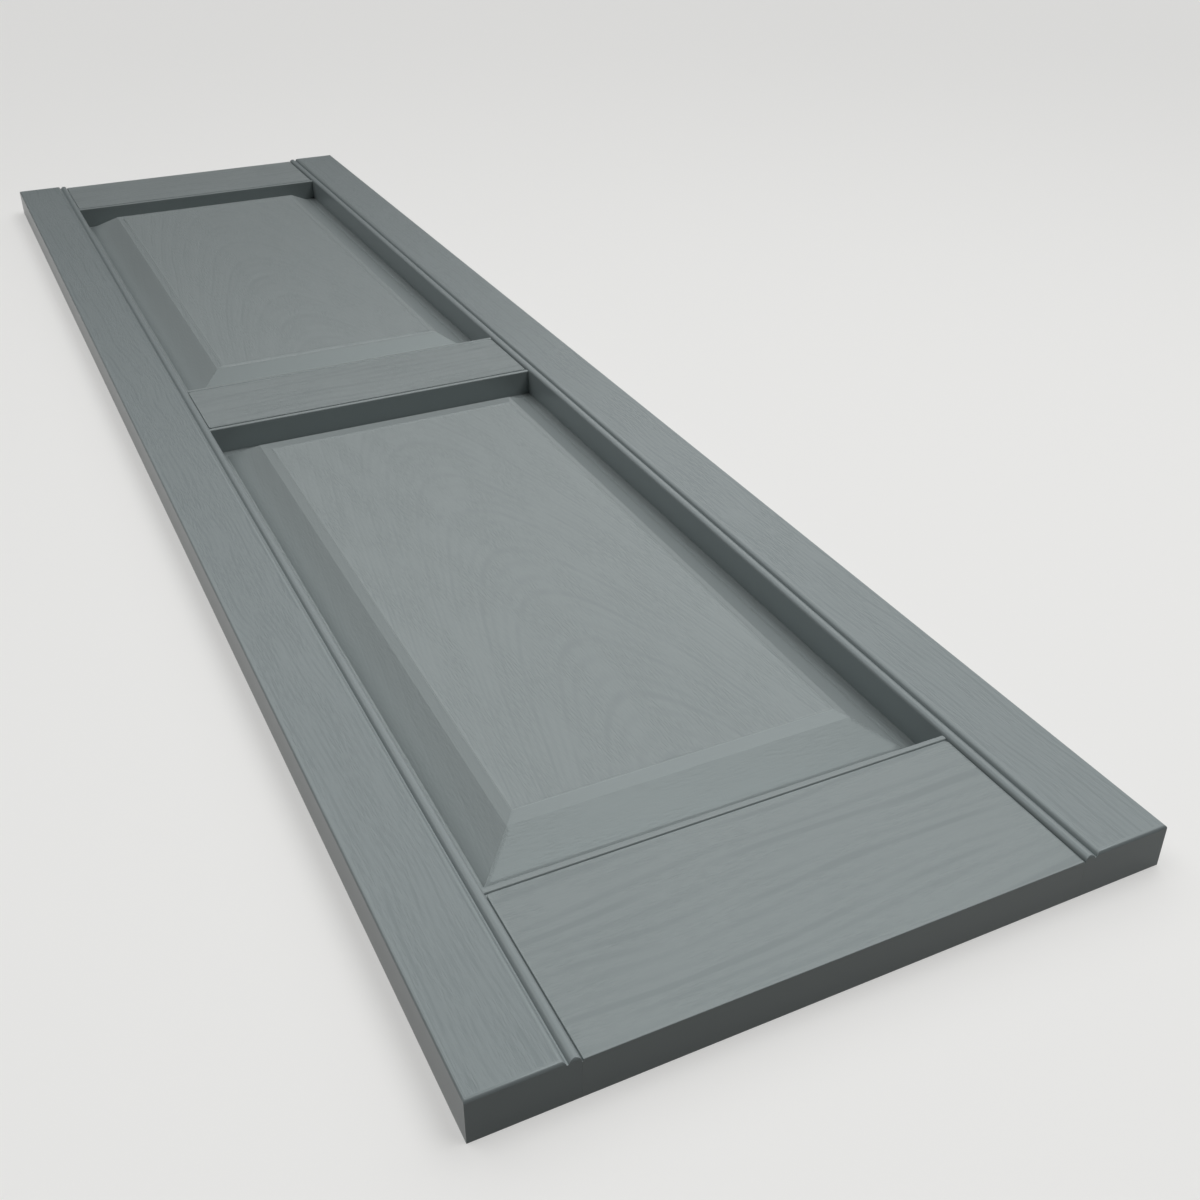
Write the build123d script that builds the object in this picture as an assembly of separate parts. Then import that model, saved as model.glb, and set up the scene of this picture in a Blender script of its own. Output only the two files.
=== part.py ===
from build123d import *
import os

# One leaf of a raised panel shutter, lying on its open back with its face up.
# Millimetres. +Z points out of the face, +Y towards the top rail, X across.
# The origin is the middle of the back plane.

# The whole leaf
leaf_width = 368.3
leaf_length = 1397.0
leaf_depth = 25.4
frame_sheet = 2.5
joint_gap = 0.05

# Stiles: flat face, eased edge, groove and half round bead
stile_width = 51.4
stile_edge_round = 1.6
stile_end_round = 2.0
stile_bead_width = 5.9
stile_bead_drop = 0.4
stile_groove_width = 0.9
stile_groove_depth = 2.5
stile_ease_width = 2.9
stile_rib_count = 9

# Rails: a plate a little below the stile faces, with a bead at each panel
bottom_rail_height = 109.6
middle_rail_height = 84.3
top_rail_height = 96.9
rail_recess = 2.5
rail_bead_width = 3.7
rail_bead_round = 1.1
rail_groove_width = 0.9
rail_groove_depth = 1.2
rail_plate_corner = 2.0
rail_plate_edge_round = 0.4
rail_seam = 0.7
rail_rib_count = 2

# Panels: one sheet with a flange, a ledge, a bevel, a sloping strip and a field
panel_sheet = 3.0
panel_flange_lap = 8.0
panel_flange_play = 0.3
panel_side_ledge = 8.6
panel_field_height = 19.5
panel_groove_width = 1.0
panel_groove_depth = 0.3
panel_cross_rib_count = 3
panel_long_rib_count = 1

# Lower panel: its bevel, and the ledges and strips that differ from side to end
lower_bevel_run = 21.4
lower_bevel_height = 17.1
lower_side_strip = 6.0
lower_bottom_ledge = 19.6
lower_bottom_strip = 7.7
lower_top_ledge = 8.5
lower_top_strip = 15.0

# Upper panel: a wider and higher bevel, so that its strips are nearly level
upper_bevel_run = 26.2
upper_bevel_height = 19.0
upper_side_strip = 5.6
upper_bottom_ledge = 17.5
upper_bottom_strip = 4.4
upper_top_ledge = 6.0
upper_top_strip = 11.0

# Stiffening ribs behind every piece
rib_thickness = 2.0

# Places that follow from the sizes above
half_width = leaf_width / 2
half_length = leaf_length / 2
opening_half_width = half_width - stile_width
rail_face = leaf_depth - rail_recess
opening_length = (leaf_length - bottom_rail_height - middle_rail_height - top_rail_height) / 2
bottom_rail_edge = -half_length + bottom_rail_height
middle_rail_low = bottom_rail_edge + opening_length
middle_rail_high = middle_rail_low + middle_rail_height
top_rail_edge = half_length - top_rail_height
lower_panel_middle = bottom_rail_edge + opening_length / 2
upper_panel_middle = middle_rail_high + opening_length / 2

ON_BACK = (Align.CENTER, Align.CENTER, Align.MIN)


def block(x_low, x_high, y_low, y_high, z_low, z_high):
    """Box between two corners."""
    middle = Pos((x_low + x_high) / 2, (y_low + y_high) / 2, z_low)
    return middle * Box(x_high - x_low, y_high - y_low, z_high - z_low, align=ON_BACK)


def stile_section():
    """Outline of the left stile seen from its bottom end: X across, Z up."""
    outer = -half_width
    inner = -opening_half_width
    bead_foot = inner - stile_bead_width
    groove_floor = leaf_depth - stile_groove_depth
    ease_foot = bead_foot - stile_groove_width
    ease_top = ease_foot - stile_ease_width
    crest = (inner - stile_bead_width / 2, leaf_depth - stile_bead_drop)
    shoulder = (outer, leaf_depth - stile_edge_round)
    with BuildSketch(Plane.XZ) as sketch:
        with BuildLine():
            Polyline((inner, groove_floor), (inner, 0), (outer, 0), shoulder)
            TangentArc(shoulder, (outer + stile_edge_round, leaf_depth), tangent=(0, 1))
            Line((outer + stile_edge_round, leaf_depth), (ease_top, leaf_depth))
            TangentArc((ease_top, leaf_depth), (ease_foot, groove_floor), tangent=(1, 0))
            Line((ease_foot, groove_floor), (bead_foot, groove_floor))
            ThreePointArc((bead_foot, groove_floor), crest, (inner, groove_floor))
        make_face()
    return sketch.sketch


def stile_pockets():
    """The hollows behind the left stile, one between each pair of ribs."""
    outer = -half_width + frame_sheet
    inner = -opening_half_width - frame_sheet
    step = inner - stile_bead_width - stile_groove_width
    face_underside = leaf_depth - frame_sheet
    groove_underside = face_underside - stile_groove_depth
    inside_length = leaf_length - 2 * frame_sheet
    count = stile_rib_count + 1
    pocket_length = (inside_length - stile_rib_count * rib_thickness) / count
    pockets = []
    for index in range(count):
        low = -inside_length / 2 + index * (pocket_length + rib_thickness)
        high = low + pocket_length
        pockets.append(block(outer, inner, low, high, 0, groove_underside))
        pockets.append(block(outer, step, low, high, 0, face_underside))
    return pockets


def flange_seats():
    """Room for the two panel flanges, cut under the inner walls of the frame."""
    reach_x = opening_half_width + panel_flange_lap + panel_flange_play
    reach_y = opening_length / 2 + panel_flange_lap + panel_flange_play
    seats = []
    for middle in (lower_panel_middle, upper_panel_middle):
        seats.append(block(-reach_x, reach_x, middle - reach_y, middle + reach_y, 0, panel_sheet))
    return seats


def left_stile():
    """Open backed stile with closed ends, ribs and the seats of the panel flanges."""
    bar = extrude(stile_section(), half_length, both=True)
    rounded = Box(2 * leaf_width, leaf_length, leaf_depth, align=ON_BACK)
    end_edges = rounded.edges().filter_by(Axis.X).group_by(Axis.Z)[-1]
    rounded = fillet(end_edges, stile_end_round)
    stile = bar & rounded
    return stile - stile_pockets() - flange_seats()


def rail_bead(edge, side):
    """Half round bead along a panel opening; side is the way to the opening."""
    face = rail_face
    low = min(edge, edge - side * rail_bead_width)
    high = max(edge, edge - side * rail_bead_width)
    reach = opening_half_width - joint_gap
    bead = block(-reach, reach, low, high, face - rail_groove_depth - frame_sheet, face)
    crest_edges = bead.edges().filter_by(Axis.X).group_by(Axis.Z)[-1]
    return fillet(crest_edges, rail_bead_round)


def rail_plate(low, high, rounded_low, rounded_high):
    """The flat face of a rail, with rounded corners beside each groove."""
    reach = opening_half_width - rail_seam
    plate = block(-reach, reach, low, high, rail_face - rail_groove_depth, rail_face)
    upright = plate.edges().filter_by(Axis.Z).group_by(Axis.Y)
    corners = ShapeList()
    if rounded_low:
        corners += upright[0]
    if rounded_high:
        corners += upright[-1]
    plate = fillet(corners, rail_plate_corner)
    rim = plate.faces().sort_by(Axis.Z)[-1].edges()
    return fillet(rim, rail_plate_edge_round)


def rail(low, high, panel_below, panel_above):
    """Open backed rail from low to high, with a bead towards each panel."""
    reach = opening_half_width - joint_gap
    groove_floor = rail_face - rail_groove_depth
    margin = rail_bead_width + rail_groove_width
    plate_low = low
    plate_high = high
    body = block(-reach, reach, low, high, 0, groove_floor)
    if panel_below:
        plate_low = low + margin
        body += rail_bead(low, -1)
    if panel_above:
        plate_high = high - margin
        body += rail_bead(high, 1)
    body += rail_plate(plate_low, plate_high, panel_below, panel_above)
    count = rail_rib_count + 1
    pocket_width = (2 * (reach - frame_sheet) - rail_rib_count * rib_thickness) / count
    for index in range(count):
        left = -reach + frame_sheet + index * (pocket_width + rib_thickness)
        right = left + pocket_width
        top = groove_floor - frame_sheet
        body -= block(left, right, low + frame_sheet, high - frame_sheet, 0, top)
    return body - flange_seats()


def raised_edge(edge, ledge, bevel, strip):
    """Half a panel section, from its flange up to its field.

    edge is the edge of the opening, and bevel the bevel's run and top height.
    """
    run, height = bevel
    flange = edge + panel_flange_lap
    foot = edge - ledge
    crown = foot - run
    field = crown - strip
    return [
        (flange, 0),
        (flange, panel_sheet),
        (foot, panel_sheet),
        (crown, height),
        (field, panel_field_height),
    ]


def raised_bar(plane, low_edge, high_edge, reach):
    """A panel section run straight through, as far as reach each way."""
    low_half = [(-across, up) for across, up in low_edge]
    with BuildSketch(plane) as sketch:
        with BuildLine():
            Polyline(*low_half, *reversed(high_edge), close=True)
        make_face()
    return extrude(sketch.sketch, reach, both=True)


def field_groove(half_span, low, high):
    """V groove round the field, mitred at its corners."""
    face = panel_field_height
    half = panel_groove_width / 2
    path = Pos(0, 0, face) * Polyline(
        (0, low),
        (half_span, low),
        (half_span, high),
        (-half_span, high),
        (-half_span, low),
        close=True,
    )
    with BuildSketch(Plane.YZ) as section:
        with BuildLine():
            Polyline(
                (low - half, face + half),
                (low - half, face),
                (low, face - panel_groove_depth),
                (low + half, face),
                (low + half, face + half),
                close=True,
            )
        make_face()
    return sweep(section.sketch, path=path, transition=Transition.RIGHT)


def rib_places(span, count):
    """Middles of ribs spread evenly over a span."""
    pitch = span / (count + 1)
    return [index * pitch - span / 2 for index in range(1, count + 1)]


def panel(middle, bevel, side_strip, bottom, top):
    """Raised panel: the side and end sections cross, which mitres its corners.

    bottom and top are each the ledge and the strip at that end.
    """
    half_span_y = opening_length / 2
    reach_x = opening_half_width + panel_flange_lap
    reach_y = half_span_y + panel_flange_lap
    half_rib = rib_thickness / 2
    side_edge = raised_edge(opening_half_width, panel_side_ledge, bevel, side_strip)
    bottom_edge = raised_edge(half_span_y, bottom[0], bevel, bottom[1])
    top_edge = raised_edge(half_span_y, top[0], bevel, top[1])
    sides = raised_bar(Plane.XZ, side_edge, side_edge, reach_y)
    ends = raised_bar(Plane.YZ, bottom_edge, top_edge, reach_x)
    mass = sides & ends
    hollow = Pos(0, 0, -panel_sheet) * mass
    shell = mass - hollow - field_groove(side_edge[-1][0], -bottom_edge[-1][0], top_edge[-1][0])
    for place in rib_places(opening_length, panel_cross_rib_count):
        slab = block(-reach_x, reach_x, place - half_rib, place + half_rib, 0, leaf_depth)
        shell += slab & hollow
    for place in rib_places(2 * opening_half_width, panel_long_rib_count):
        slab = block(place - half_rib, place + half_rib, -reach_y, reach_y, 0, leaf_depth)
        shell += slab & hollow
    return Pos(0, middle, 0) * shell


def lower_panel():
    """The panel between the bottom and the middle rail."""
    return panel(
        lower_panel_middle,
        (lower_bevel_run, lower_bevel_height),
        lower_side_strip,
        (lower_bottom_ledge, lower_bottom_strip),
        (lower_top_ledge, lower_top_strip),
    )


def upper_panel():
    """The panel between the middle and the top rail."""
    return panel(
        upper_panel_middle,
        (upper_bevel_run, upper_bevel_height),
        upper_side_strip,
        (upper_bottom_ledge, upper_bottom_strip),
        (upper_top_ledge, upper_top_strip),
    )


def pieces():
    """Every piece of the leaf by its name."""
    stile = left_stile()
    return {
        "left_stile": stile,
        "right_stile": mirror(stile, about=Plane.YZ),
        "bottom_rail": rail(-half_length, bottom_rail_edge, False, True),
        "middle_rail": rail(middle_rail_low, middle_rail_high, True, True),
        "top_rail": rail(top_rail_edge, half_length, True, False),
        "lower_panel": lower_panel(),
        "upper_panel": upper_panel(),
    }


os.makedirs("parts", exist_ok=True)
for name, piece in pieces().items():
    export_step(piece, f"parts/{name}.step")
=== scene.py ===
import math

import bmesh
import bpy
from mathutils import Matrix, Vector


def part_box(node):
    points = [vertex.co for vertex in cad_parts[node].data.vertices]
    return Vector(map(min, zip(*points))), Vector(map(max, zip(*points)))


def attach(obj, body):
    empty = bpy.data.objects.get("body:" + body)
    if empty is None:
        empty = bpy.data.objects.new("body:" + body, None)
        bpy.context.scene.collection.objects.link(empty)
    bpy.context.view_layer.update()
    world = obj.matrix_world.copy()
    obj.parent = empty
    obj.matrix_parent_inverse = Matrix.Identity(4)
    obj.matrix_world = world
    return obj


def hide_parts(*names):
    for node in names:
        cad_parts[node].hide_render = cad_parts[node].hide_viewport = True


# One raised panel shutter leaf, lying on its open back on a pale studio floor.
# Metres. +Z points out of the face, +Y towards the top rail, X across the leaf.
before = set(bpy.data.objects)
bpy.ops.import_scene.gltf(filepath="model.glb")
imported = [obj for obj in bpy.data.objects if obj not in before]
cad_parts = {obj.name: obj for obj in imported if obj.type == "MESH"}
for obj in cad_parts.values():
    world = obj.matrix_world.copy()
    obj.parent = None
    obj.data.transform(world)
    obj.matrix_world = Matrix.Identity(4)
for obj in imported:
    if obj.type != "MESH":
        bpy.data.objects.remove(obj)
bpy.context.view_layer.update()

# Which way a piece's fibres run; by face is along a panel, but across it on its end bevels
ALONG = "along"
ACROSS = "across"
BY_FACE = "by face"

# Wood grain embossed in the moulded faces: its depth, and how fine the faces are cut to carry it
EMBOSS_DEPTH = 0.00024
STILE_EMBOSS_PITCH = 0.0013
RAIL_EMBOSS_PITCH = 0.0013
PANEL_EMBOSS_PITCH = 0.0016

# Shares of the relief, and the share of the grain that a panel's bevels keep
FIBRE_SHARE = 0.55
BAND_SHARE = 0.45
PANEL_RING_SHARE = 0.35
SIDE_BEVEL_EMBOSS = 0.25
END_BEVEL_EMBOSS = 0.2

# Growth rings: how far apart the strong ones lie, how broad they arch and how they wander
RING_PITCH = 0.06
ARCH_WIDTH = 0.025
RING_SWAY = 0.008
SWAY_WIDTH = 0.055
SWAY_LENGTH = 0.12
TURNS_PER_SEED = 0.37
RINGS_PER_STRONG_ONE = 3.0
WEAK_RING = 0.25
STRONG_RING_GAIN = 0.55
PANEL_SEED = 8.0

# Rings of wood sawn lengthwise, which show as nearly straight broken bands
STRAIGHT_RINGS = {"Arch Width": 1000.0, "Rise": 0.03, "Lean": 1.0, "Sway": 0.02}
STILE_RINGS = STRAIGHT_RINGS | {"Ring Pitch": 0.0114, "Break Width": 0.006, "Break Length": 0.032}
RAIL_RINGS = STRAIGHT_RINGS | {"Ring Pitch": 0.026, "Break Width": 0.013, "Break Length": 0.08}

# Patches in which the pores lie, and how much of a pore shows between them
PATCH_WIDTH = 0.014
PATCH_LENGTH = 0.06
THIN_PORE = 0.3

# Where a noise or a wave begins to show, and where it shows in full
PORE_EDGE = (0.4, 0.66)
PATCH_EDGE = (0.36, 0.6)
RING_EDGE = (0.3, 1.0)
BREAK_EDGE = (0.33, 0.6)

# Detail of a noise: soft shapes, fine ones with rough edges, and clouds
SOFT = 1.0
FINE = 2.0
CLOUDY = 3.0

# What counts as a flat face, as a land, and as a crease between two of them
MERGE_DISTANCE = 1e-6
CUT_DISTANCE = 1e-7
FLAT_FOLD = math.radians(0.05)
LAND_WIDTH = 0.002
LAND_CREASE = math.radians(5)
HARD_CREASE = math.radians(35)
FACE_UP = 0.3
BEVEL_TILT = 0.15

# Vinyl, in linear colour
STILE_TONE = (0.94, 0.95, 0.96)
RAIL_TONE = (0.985, 0.985, 0.985)
PANEL_TONE = (1.045, 1.045, 1.045)
VINYL_LIGHT = (0.273, 0.306, 0.308)
VINYL_DARK = (0.232, 0.263, 0.266)
VINYL_ROUGHNESS = 0.3
PORE_ROUGHNESS = 0.42
VINYL_REFRACTION = 1.5
VINYL_SHEEN_COLOUR = (0.88, 1.0, 1.0, 1)

# How much of the light vinyl the plain surface has, what clouds add, and what pores and rings take
PLAIN_MIX = 0.65
CLOUD_MIX = 0.35
PORE_MIX = 0.45
STILE_RING_MIX = 1.4
RAIL_RING_MIX = 1.5
PANEL_RING_MIX = 0.8
CLOUD_SIZE = 0.09

# Fine surface: the depth of a pore, the rings and the dimples as shares of it
BUMP_DEPTH = 0.00021
BUMP_STRENGTH = 0.6
RING_BUMP = 0.7
DIMPLE_BUMP = 0.12
DIMPLES_PER_METRE = 900.0

# Sockets of a Mix node, whose names repeat: both inputs and the result
VECTOR_MIX = (4, 5, 1)
COLOUR_MIX = (6, 7, 2)

# Studio
FLOOR_SIZE = 30.0
FLOOR_COLOUR = (0.45, 0.45, 0.445, 1)
FLOOR_ROUGHNESS = 0.9
FLOOR_GLOW = 0.515
ROOM_COLOUR = (0.80, 0.795, 0.78, 1)
LIT_PLACE = (0, -0.55, 0)
LAMP_DISTANCE = 3.0
SOFT_ANGLE = math.radians(34)
LAMP_SPREAD = math.radians(70)

# Light: azimuth from +Y towards +X and elevation in degrees, then strength
LAMPS = {
    "upper right lamp": (60, 65, 2.69),
    "lower right lamp": (120, 65, 1.92),
}
WINDOWS = {
    "high right window": (120, 65, 0.66),
    "high left window": (300, 65, 0.67),
    "top window, left": (337.5, 40, 0.30),
    "top window, right": (22.5, 40, 0.32),
    "right window": (67.5, 40, 0.26),
    "low corner window": (45, 14, 0.25),
    "low left window": (270, 14, 0.05),
}

# Camera
CAMERA_PLACE = (-0.29418, -1.04503, 0.48194)
CAMERA_TURN = (math.radians(57.95), 0, math.radians(-26.07))
CAMERA_LENS_MM = 42.03
SENSOR_WIDTH_MM = 36.0


# Small helpers for node trees

def add_node(tree, kind, **settings):
    """A node with its own settings and, under inputs, the values of its sockets."""
    node = tree.nodes.new(kind)
    inputs = settings.pop("inputs", {})
    for name, value in settings.items():
        setattr(node, name, value)
    for name, value in inputs.items():
        node.inputs[name].default_value = value
    return node


def join(tree, source, target):
    """Links an output socket to an input socket."""
    tree.links.new(source, target)


def feed(tree, value, target):
    """Sets an input socket to a number, or links an output socket to it."""
    if isinstance(value, (int, float)):
        target.default_value = value
    else:
        join(tree, value, target)


def scalar(tree, operation, first, second=0.0):
    """A Math node on sockets or numbers; gives back its output."""
    node = add_node(tree, "ShaderNodeMath", operation=operation)
    feed(tree, first, node.inputs[0])
    feed(tree, second, node.inputs[1])
    return node.outputs[0]


def product(tree, first, second):
    """Two sockets or numbers multiplied."""
    return scalar(tree, "MULTIPLY", first, second)


def ramp(tree, value, edge, ends=(0.0, 1.0)):
    """Maps the range given as edge onto the range given as ends, and holds it there."""
    sizes = {"From Min": edge[0], "From Max": edge[1], "To Min": ends[0], "To Max": ends[1]}
    node = add_node(tree, "ShaderNodeMapRange", inputs=sizes)
    join(tree, value, node.inputs["Value"])
    return node.outputs[0]


def vector(tree, x, y, z=0.0):
    """A vector made of three sockets or numbers."""
    node = add_node(tree, "ShaderNodeCombineXYZ")
    for value, target in zip((x, y, z), node.inputs):
        feed(tree, value, target)
    return node.outputs[0]


def split(tree, position):
    """The three parts of a vector."""
    node = add_node(tree, "ShaderNodeSeparateXYZ")
    join(tree, position, node.inputs[0])
    return node.outputs


def fibres(tree, position, across, along, seed, detail=FINE):
    """Noise from 0 to 1, drawn out along the second axis; across and along are its wavelengths."""
    parts = split(tree, position)
    x = scalar(tree, "DIVIDE", parts[0], across)
    y = scalar(tree, "DIVIDE", parts[1], along)
    noise = add_node(tree, "ShaderNodeTexNoise", inputs={"Scale": 1.0, "Detail": detail})
    join(tree, vector(tree, x, y, seed), noise.inputs["Vector"])
    return noise.outputs[0]


def take(tree, kind, name):
    """Adds an input of some kind to a node group."""
    return tree.interface.new_socket(name, in_out="INPUT", socket_type=kind)


def take_values(tree, values):
    """Adds number inputs with their usual values to a node group."""
    for name, value in values.items():
        take(tree, "NodeSocketFloat", name).default_value = value


def given(tree):
    """All inputs of a node group by name."""
    return {socket.name: socket for socket in add_node(tree, "NodeGroupInput").outputs}


def give(tree, kind, name, source):
    """Adds an output to a node group and links what it gives."""
    tree.interface.new_socket(name, in_out="OUTPUT", socket_type=kind)
    join(tree, source, add_node(tree, "NodeGroupOutput").inputs[name])


def stored(tree, name):
    """A number stored on the mesh, as a material reads it."""
    return add_node(tree, "ShaderNodeAttribute", attribute_name=name).outputs["Fac"]


# Growth rings, for the relief and for the vinyl

def ring_turns(tree, position, inputs):
    """How many growth rings lie before a point: arches along the fibres, or straight bands."""
    parts = split(tree, position)
    sway = fibres(tree, position, SWAY_WIDTH, SWAY_LENGTH, inputs["Seed"], SOFT)
    sway = product(tree, scalar(tree, "SUBTRACT", sway, 0.5), inputs["Sway"])
    off_heart = scalar(tree, "ADD", parts[0], sway)
    fall = scalar(tree, "DIVIDE", product(tree, off_heart, off_heart), inputs["Arch Width"])
    climb = scalar(tree, "ADD", product(tree, parts[1], inputs["Rise"]), fall)
    climb = scalar(tree, "ADD", climb, product(tree, off_heart, inputs["Lean"]))
    turns = scalar(tree, "DIVIDE", climb, inputs["Ring Pitch"])
    return scalar(tree, "ADD", turns, product(tree, inputs["Seed"], TURNS_PER_SEED))


def wave(tree, turns):
    """A smooth wave from 0 to 1 that peaks at every whole turn."""
    swing = scalar(tree, "COSINE", product(tree, turns, math.tau))
    return scalar(tree, "ADD", product(tree, swing, 0.5), 0.5)


# Grain relief: a Geometry Nodes tree that presses fibres and rings into a face

def mesh_value(tree, name):
    """A number stored on the mesh, as the relief reads it."""
    node = add_node(tree, "GeometryNodeInputNamedAttribute", data_type="FLOAT")
    node.inputs["Name"].default_value = name
    return node.outputs[0]


def grain_position(tree):
    """The point with its fibre direction as second axis, whichever way the face is grained."""
    parts = split(tree, add_node(tree, "GeometryNodeInputPosition").outputs[0])
    is_across = add_node(tree, "FunctionNodeCompare", data_type="FLOAT", operation="GREATER_THAN")
    join(tree, mesh_value(tree, "grain_across"), is_across.inputs[0])
    is_across.inputs[1].default_value = 0.5
    choice = add_node(tree, "GeometryNodeSwitch", input_type="VECTOR")
    join(tree, is_across.outputs[0], choice.inputs["Switch"])
    join(tree, vector(tree, parts[0], parts[1]), choice.inputs["False"])
    join(tree, vector(tree, parts[1], parts[0]), choice.inputs["True"])
    return choice.outputs[0]


def relief_height(tree, inputs):
    """Height of the grain from 0 to 1: fibres and bands, less the rings."""
    position = grain_position(tree)
    seed = inputs["Seed"]
    fine = fibres(tree, position, inputs["Fibre Width"], inputs["Fibre Length"], seed)
    band = fibres(tree, position, inputs["Band Width"], inputs["Band Length"], seed, SOFT)
    rings = wave(tree, ring_turns(tree, position, inputs))
    straight = scalar(tree, "ADD", product(tree, fine, FIBRE_SHARE), product(tree, band, BAND_SHARE))
    return scalar(tree, "SUBTRACT", straight, product(tree, rings, inputs["Ring Share"]))


def emboss_tree():
    """Geometry Nodes tree that presses the grain into the faces marked for it."""
    tree = bpy.data.node_groups.new("embossed grain", "GeometryNodeTree")
    take(tree, "NodeSocketGeometry", "Geometry")
    take_values(tree, {
        "Depth": EMBOSS_DEPTH,
        "Fibre Width": 0.0032,
        "Fibre Length": 0.045,
        "Band Width": 0.011,
        "Band Length": 0.16,
        "Ring Share": 0.0,
        "Ring Pitch": RING_PITCH,
        "Arch Width": ARCH_WIDTH,
        "Rise": 1.0,
        "Lean": 0.0,
        "Sway": RING_SWAY,
        "Seed": 1.0,
    })
    take(tree, "NodeSocketMaterial", "Vinyl")
    inputs = given(tree)

    depth = product(tree, inputs["Depth"], mesh_value(tree, "grain_amount"))
    height = relief_height(tree, inputs)
    pressed = product(tree, scalar(tree, "SUBTRACT", height, 1.0), depth)
    move = add_node(tree, "GeometryNodeSetPosition")
    join(tree, inputs["Geometry"], move.inputs["Geometry"])
    join(tree, vector(tree, 0.0, 0.0, pressed), move.inputs["Offset"])
    real = add_node(tree, "GeometryNodeRealizeInstances")
    join(tree, move.outputs["Geometry"], real.inputs["Geometry"])
    finish = add_node(tree, "GeometryNodeSetMaterial")
    join(tree, real.outputs["Geometry"], finish.inputs["Geometry"])
    join(tree, inputs["Vinyl"], finish.inputs["Material"])
    give(tree, "NodeSocketGeometry", "Geometry", finish.outputs["Geometry"])
    return tree


# Shader groups

def pore_group():
    """Short fine pores pressed along the fibres; gives a mask of them."""
    group = bpy.data.node_groups.new("embossed pores", "ShaderNodeTree")
    take(group, "NodeSocketVector", "Vector")
    take_values(group, {"Width": 0.0011, "Length": 0.008, "Seed": 0.0})
    inputs = given(group)
    pores = fibres(group, inputs["Vector"], inputs["Width"], inputs["Length"], inputs["Seed"])
    patches = fibres(group, inputs["Vector"], PATCH_WIDTH, PATCH_LENGTH, inputs["Seed"], SOFT)
    shown = ramp(group, patches, PATCH_EDGE, (THIN_PORE, 1.0))
    give(group, "NodeSocketFloat", "Mask", product(group, ramp(group, pores, PORE_EDGE), shown))
    return group


def ring_group():
    """Smooth bands of late growth, every third one stronger; gives a mask of them."""
    group = bpy.data.node_groups.new("growth rings", "ShaderNodeTree")
    take(group, "NodeSocketVector", "Vector")
    take_values(group, {
        "Ring Pitch": RING_PITCH,
        "Arch Width": ARCH_WIDTH,
        "Rise": 1.0,
        "Lean": 0.0,
        "Sway": RING_SWAY,
        "Break Width": 0.012,
        "Break Length": 0.09,
        "Seed": 0.0,
    })
    inputs = given(group)
    turns = ring_turns(group, inputs["Vector"], inputs)
    ring = ramp(group, wave(group, product(group, turns, RINGS_PER_STRONG_ONE)), RING_EDGE)
    strength = scalar(group, "ADD", product(group, wave(group, turns), STRONG_RING_GAIN), WEAK_RING)
    breaks = fibres(group, inputs["Vector"], inputs["Break Width"], inputs["Break Length"],
                    inputs["Seed"], SOFT)
    band = product(group, product(group, ring, strength), ramp(group, breaks, BREAK_EDGE))
    give(group, "NodeSocketFloat", "Band", band)
    return group


def tone_group():
    """Faint cloudy change of tone of moulded vinyl; gives a factor from 0 to 1."""
    group = bpy.data.node_groups.new("moulded tone", "ShaderNodeTree")
    take(group, "NodeSocketVector", "Vector")
    take_values(group, {"Cloud Size": CLOUD_SIZE})
    inputs = given(group)
    clouds = add_node(group, "ShaderNodeTexNoise", inputs={"Detail": CLOUDY})
    join(group, inputs["Vector"], clouds.inputs["Vector"])
    join(group, scalar(group, "DIVIDE", 1.0, inputs["Cloud Size"]), clouds.inputs["Scale"])
    give(group, "NodeSocketFloat", "Tone", clouds.outputs[0])
    return group


# Vinyl

def turned_across(tree, place):
    """Object coordinates turned so that the second axis runs across the leaf."""
    mapping = add_node(tree, "ShaderNodeMapping", vector_type="POINT")
    mapping.inputs["Rotation"].default_value = (0, 0, math.radians(90))
    join(tree, place, mapping.inputs["Vector"])
    return mapping.outputs[0]


def turned_by_face(tree, place, across):
    """Object coordinates turned on the faces whose fibres run across the leaf."""
    first, second, result = VECTOR_MIX
    mix = add_node(tree, "ShaderNodeMix", data_type="VECTOR")
    join(tree, across, mix.inputs["Factor"])
    join(tree, place, mix.inputs[first])
    join(tree, turned_across(tree, place), mix.inputs[second])
    return mix.outputs[result]


def vinyl_grain(tree, groups, place, grain, pore_seed, rings):
    """Masks of the pores and of the rings on one kind of piece."""
    pore = add_node(tree, "ShaderNodeGroup", node_tree=groups["pores"], inputs={"Seed": pore_seed})
    ring = add_node(tree, "ShaderNodeGroup", node_tree=groups["rings"], inputs=rings)
    band = ring.outputs["Band"]
    if grain == BY_FACE:
        across = stored(tree, "grain_across")
        join(tree, turned_by_face(tree, place, across), pore.inputs["Vector"])
        join(tree, place, ring.inputs["Vector"])
        band = product(tree, band, scalar(tree, "SUBTRACT", 1.0, across))
    else:
        along_fibres = turned_across(tree, place) if grain == ACROSS else place
        join(tree, along_fibres, pore.inputs["Vector"])
        join(tree, along_fibres, ring.inputs["Vector"])
    amount = stored(tree, "grain_amount")
    band = product(tree, band, amount)
    between_rings = product(tree, scalar(tree, "SUBTRACT", 1.0, band), amount)
    return product(tree, pore.outputs["Mask"], between_rings), band


def toned(colour, tone):
    """A linear colour shifted by a piece's own tone."""
    return [value * factor for value, factor in zip(colour, tone)] + [1]


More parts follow.
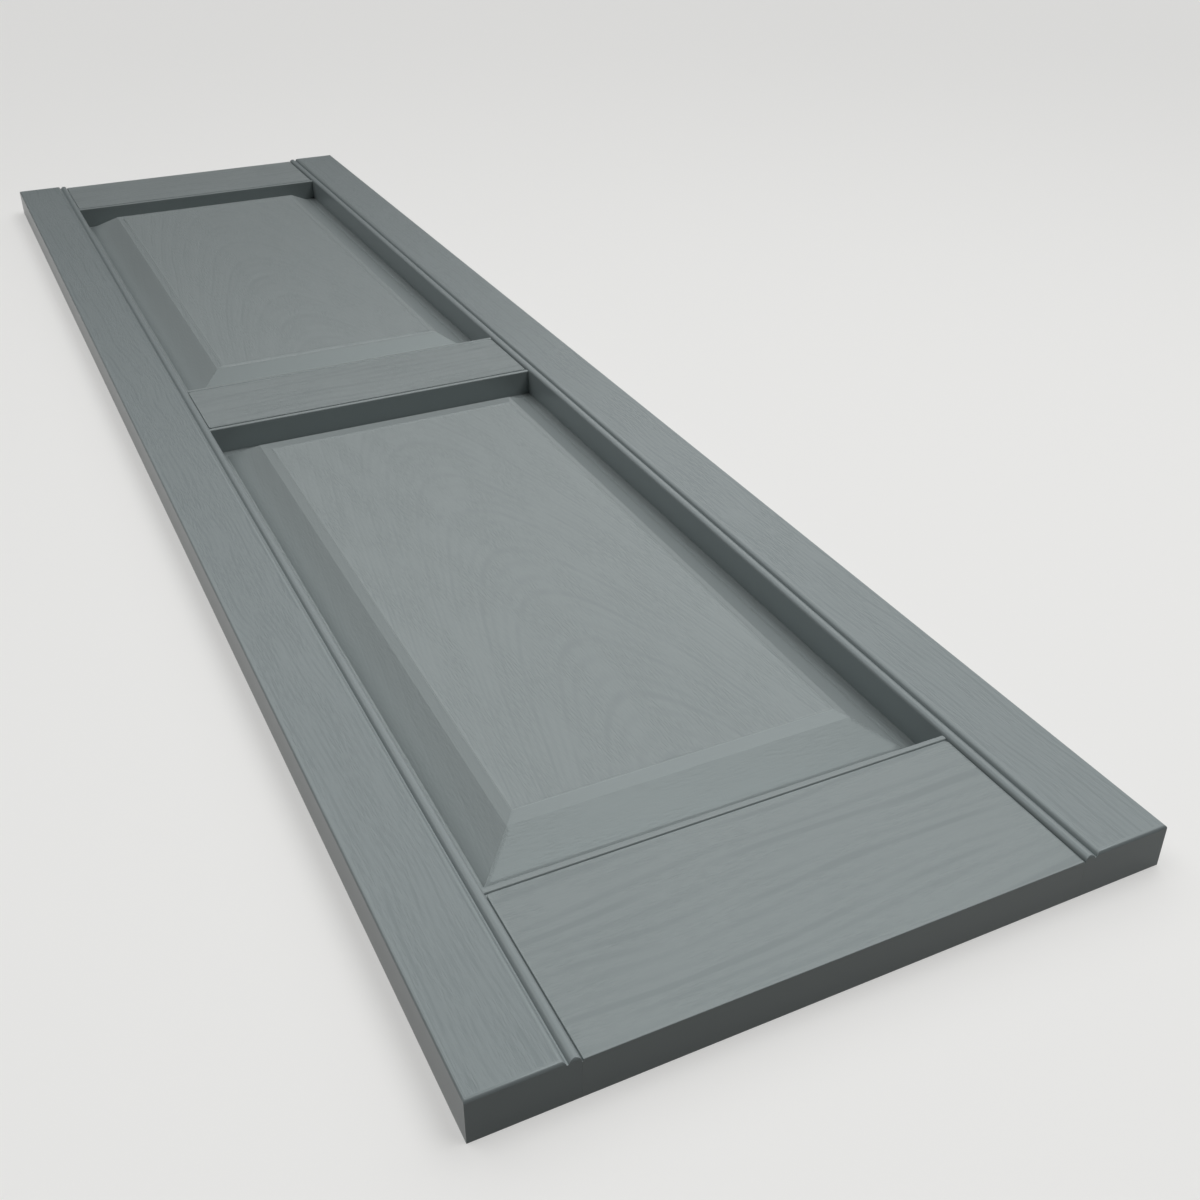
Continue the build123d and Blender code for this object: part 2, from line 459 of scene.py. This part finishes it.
def vinyl_colour(tree, clouds, tone, ring_mix, pores, band):
    """Light vinyl, darker in the pores and the rings."""
    light = scalar(tree, "ADD", product(tree, clouds, CLOUD_MIX), PLAIN_MIX)
    light = scalar(tree, "SUBTRACT", light, product(tree, band, ring_mix))
    light = scalar(tree, "SUBTRACT", light, product(tree, pores, PORE_MIX))
    first, second, result = COLOUR_MIX
    mix = add_node(tree, "ShaderNodeMix", data_type="RGBA")
    join(tree, light, mix.inputs["Factor"])
    mix.inputs[first].default_value = toned(VINYL_DARK, tone)
    mix.inputs[second].default_value = toned(VINYL_LIGHT, tone)
    return mix.outputs[result]


def vinyl_surface(tree, place, pores, band):
    """Normals of fine dimples, with the pores and the rings pressed in."""
    dimples = add_node(tree, "ShaderNodeTexNoise", inputs={"Scale": DIMPLES_PER_METRE, "Detail": FINE})
    join(tree, place, dimples.inputs["Vector"])
    height = scalar(tree, "SUBTRACT", product(tree, dimples.outputs[0], DIMPLE_BUMP), pores)
    height = scalar(tree, "SUBTRACT", height, product(tree, band, RING_BUMP))
    bump = add_node(tree, "ShaderNodeBump", inputs={"Strength": BUMP_STRENGTH, "Distance": BUMP_DEPTH})
    join(tree, height, bump.inputs["Height"])
    return bump.outputs["Normal"]


def vinyl(name, groups, tone, ring_mix, grain, pore_seed, rings):
    """Solid coloured satin vinyl of one kind of piece, with its grain pressed in."""
    material = bpy.data.materials.new(name)
    material.use_nodes = True
    tree = material.node_tree
    shader = tree.nodes["Principled BSDF"]
    place = add_node(tree, "ShaderNodeTexCoord").outputs["Object"]
    pores, band = vinyl_grain(tree, groups, place, grain, pore_seed, rings)
    clouds = add_node(tree, "ShaderNodeGroup", node_tree=groups["tone"])
    join(tree, place, clouds.inputs["Vector"])

    colour = vinyl_colour(tree, clouds.outputs["Tone"], tone, ring_mix, pores, band)
    join(tree, colour, shader.inputs["Base Color"])
    roughness = ramp(tree, pores, (0.0, 1.0), (VINYL_ROUGHNESS, PORE_ROUGHNESS))
    join(tree, roughness, shader.inputs["Roughness"])
    join(tree, vinyl_surface(tree, place, pores, band), shader.inputs["Normal"])
    shader.inputs["IOR"].default_value = VINYL_REFRACTION
    shader.inputs["Specular Tint"].default_value = VINYL_SHEEN_COLOUR
    return material


# Moulded pieces from the frame's nodes

def mark_lands(bm):
    """Merges flat triangles into whole faces, and marks those wide enough to count as lands."""
    bmesh.ops.remove_doubles(bm, verts=bm.verts, dist=MERGE_DISTANCE)
    bmesh.ops.dissolve_limit(bm, angle_limit=FLAT_FOLD, verts=bm.verts, edges=bm.edges)
    land = bm.faces.layers.int.new("land")
    for face in bm.faces:
        reach = max((a.co - b.co).length for a in face.verts for b in face.verts)
        face[land] = int(face.calc_area() / reach > LAND_WIDTH)
    bmesh.ops.triangulate(bm, faces=bm.faces)
    return land


def is_grained(face, land):
    """Whether a face is a land that looks up."""
    return face.normal.z > FACE_UP and bool(face[land])


def slice_faces(bm, faces, axis, low, high, pitch):
    """Cuts faces across one axis into even strips about a pitch wide; gives them all back."""
    count = round((high - low) / pitch)
    if count < 2 or not faces:
        return faces
    near_count = count // 2
    middle = low + (high - low) * near_count / count
    geometry = set(faces)
    for face in faces:
        geometry.update(face.edges)
        geometry.update(face.verts)
    place = Vector((0, 0, 0))
    place[axis] = middle
    normal = Vector((0, 0, 0))
    normal[axis] = 1
    cut = bmesh.ops.bisect_plane(bm, geom=list(geometry), dist=CUT_DISTANCE,
                                 plane_co=place, plane_no=normal)
    near = []
    far = []
    for item in cut["geom"]:
        if isinstance(item, bmesh.types.BMFace):
            side = near if item.calc_center_median()[axis] < middle else far
            side.append(item)
    near = slice_faces(bm, near, axis, low, middle, pitch)
    far = slice_faces(bm, far, axis, middle, high, pitch)
    return near + far


def grain_strength(face, grain):
    """How strongly a face is grained: in full, except on a panel's bevels."""
    if grain == BY_FACE and abs(face.normal.x) > BEVEL_TILT:
        return SIDE_BEVEL_EMBOSS
    if grain == BY_FACE and abs(face.normal.y) > BEVEL_TILT:
        return END_BEVEL_EMBOSS
    return 1.0


def mark_grain(bm, land, grain):
    """Stores how strongly each point is grained and whether its fibres run across the leaf.

    A point that touches anything but a grained face stays where it is.
    """
    amount = bm.verts.layers.float.new("grain_amount")
    across = bm.verts.layers.float.new("grain_across")
    for vert in bm.verts:
        faces = vert.link_faces
        grained = [face for face in faces if is_grained(face, land)]
        if len(grained) == len(faces):
            vert[amount] = sum(grain_strength(face, grain) for face in grained) / len(faces)
        if grain == BY_FACE:
            on_end_bevel = sum(abs(face.normal.y) > BEVEL_TILT for face in grained)
            vert[across] = float(on_end_bevel > len(faces) / 2)
        else:
            vert[across] = float(grain == ACROSS)


def crease(bm, land):
    """Marks sharp edges: between two lands, and wherever the fold is hard."""
    for edge in bm.edges:
        if len(edge.link_faces) != 2:
            continue
        fold = edge.calc_face_angle(0.0)
        lands = all(face[land] for face in edge.link_faces)
        edge.smooth = not (fold > HARD_CREASE or (lands and fold > LAND_CREASE))
    for face in bm.faces:
        face.smooth = True


def moulded_copy(node, pitch, grain):
    """A copy of a node with its upward faces cut fine enough to carry the grain."""
    low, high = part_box(node)
    bm = bmesh.new()
    bm.from_mesh(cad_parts[node].data)
    land = mark_lands(bm)
    tops = [face for face in bm.faces if is_grained(face, land)]
    tops = slice_faces(bm, tops, 0, low.x, high.x, pitch)
    slice_faces(bm, tops, 1, low.y, high.y, pitch)
    bm.normal_update()
    crease(bm, land)
    mark_grain(bm, land, grain)
    bmesh.ops.triangulate(bm, faces=[face for face in bm.faces if len(face.verts) > 4])
    mesh = bpy.data.meshes.new(node + "_moulding")
    bm.to_mesh(mesh)
    bm.free()
    return mesh


def emboss(piece, tree, material, sizes):
    """Runs the grain tree on a piece and leaves the plain mesh that it makes."""
    modifier = piece.modifiers.new("grain", "NODES")
    modifier.node_group = tree
    sockets = {item.name: item.identifier for item in tree.interface.items_tree if item.in_out == "INPUT"}
    modifier[sockets["Vinyl"]] = material
    for name, value in sizes.items():
        modifier[sockets[name]] = float(value)
    graph = bpy.context.evaluated_depsgraph_get()
    result = bpy.data.meshes.new_from_object(piece.evaluated_get(graph))
    piece.modifiers.remove(modifier)
    plain = piece.data
    piece.data = result
    bpy.data.meshes.remove(plain)


def dress(node, tree, material, pitch, grain, sizes):
    """Makes the grained piece that stands for a node."""
    piece = bpy.data.objects.new("grained_" + node, moulded_copy(node, pitch, grain))
    bpy.context.scene.collection.objects.link(piece)
    emboss(piece, tree, material, sizes)
    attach(piece, "root")
    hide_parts(node)
    return piece


def shutter_leaf():
    """All seven pieces with their grain and finish."""
    tree = emboss_tree()
    groups = {"pores": pore_group(), "rings": ring_group(), "tone": tone_group()}
    stile_vinyl = vinyl("stile vinyl", groups, STILE_TONE, STILE_RING_MIX, ALONG, 3.0, STILE_RINGS)
    rail_vinyl = vinyl("rail vinyl", groups, RAIL_TONE, RAIL_RING_MIX, ACROSS, 7.0, RAIL_RINGS)
    panel_vinyl = vinyl("panel vinyl", groups, PANEL_TONE, PANEL_RING_MIX, BY_FACE, 11.0,
                        {"Seed": PANEL_SEED})
    for seed, node in enumerate(("left_stile", "right_stile"), 1):
        stile = dress(node, tree, stile_vinyl, STILE_EMBOSS_PITCH, ALONG, {"Seed": seed})
    for seed, node in enumerate(("bottom_rail", "middle_rail", "top_rail"), 4):
        rail = dress(node, tree, rail_vinyl, RAIL_EMBOSS_PITCH, ACROSS, {"Seed": seed})
    field = {"Ring Share": PANEL_RING_SHARE, "Seed": PANEL_SEED}
    for node in ("lower_panel", "upper_panel"):
        panel = dress(node, tree, panel_vinyl, PANEL_EMBOSS_PITCH, BY_FACE, field)


# Studio

def floor_material():
    """Pale matt studio floor, lit a little from within like a light table."""
    material = bpy.data.materials.new("studio floor")
    material.use_nodes = True
    shader = material.node_tree.nodes["Principled BSDF"]
    shader.inputs["Base Color"].default_value = FLOOR_COLOUR
    shader.inputs["Roughness"].default_value = FLOOR_ROUGHNESS
    shader.inputs["Emission Color"].default_value = ROOM_COLOUR
    shader.inputs["Emission Strength"].default_value = FLOOR_GLOW
    return material


def studio_floor():
    """Large level floor; the leaf mirrors it, but gets no soft light from it."""
    half = FLOOR_SIZE / 2
    mesh = bpy.data.meshes.new("studio_floor")
    corners = [(-half, -half, 0), (half, -half, 0), (half, half, 0), (-half, half, 0)]
    mesh.from_pydata(corners, [], [(0, 1, 2, 3)])
    mesh.materials.append(floor_material())
    floor = bpy.data.objects.new("studio_floor", mesh)
    floor.visible_diffuse = False
    bpy.context.scene.collection.objects.link(floor)


def hang(name, data, azimuth, elevation):
    """Places a light in its direction from the near part of the leaf, looking at it."""
    turn = math.radians(azimuth)
    climb = math.radians(elevation)
    level = math.cos(climb)
    direction = Vector((math.sin(turn) * level, math.cos(turn) * level, math.sin(climb)))
    light = bpy.data.objects.new(name, data)
    light.location = Vector(LIT_PLACE) + direction * LAMP_DISTANCE
    light.rotation_euler = direction.to_track_quat("Z", "Y").to_euler()
    light.visible_camera = False
    bpy.context.scene.collection.objects.link(light)


def soft_lamp(name, azimuth, elevation, power):
    """Round lamp that is near enough for its light to fade along the leaf."""
    data = bpy.data.lights.new(name, "AREA")
    data.shape = "DISK"
    data.size = 2 * LAMP_DISTANCE * math.tan(SOFT_ANGLE / 2)
    data.spread = LAMP_SPREAD
    data.energy = power
    hang(name, data, azimuth, elevation)


def window(name, azimuth, elevation, strength):
    """Even soft light from far off."""
    data = bpy.data.lights.new(name, "SUN")
    data.angle = SOFT_ANGLE
    data.energy = strength
    hang(name, data, azimuth, elevation)


def studio_light():
    """Soft light from above and from beyond the leaf, little from the camera's side."""
    for name, (azimuth, elevation, power) in LAMPS.items():
        soft_lamp(name, azimuth, elevation, power)
    for name, (azimuth, elevation, strength) in WINDOWS.items():
        window(name, azimuth, elevation, strength)


def room():
    """Pale room that is seen, but gives the leaf no light; its colours are shown as they are."""
    world = bpy.data.worlds.new("room")
    world.use_nodes = True
    walls = world.node_tree.nodes["Background"]
    walls.inputs["Color"].default_value = ROOM_COLOUR
    bpy.context.scene.world = world
    world.cycles_visibility.diffuse = False
    world.cycles_visibility.glossy = False
    bpy.context.scene.view_settings.view_transform = "Standard"


def camera():
    """Camera at the corner of the bottom rail, looking along the leaf."""
    data = bpy.data.cameras.new("camera")
    data.lens = CAMERA_LENS_MM
    data.sensor_width = SENSOR_WIDTH_MM
    eye = bpy.data.objects.new("camera", data)
    eye.location = CAMERA_PLACE
    eye.rotation_euler = CAMERA_TURN
    bpy.context.scene.collection.objects.link(eye)
    bpy.context.scene.camera = eye


camera()
shutter_leaf()
studio_floor()
studio_light()
room()
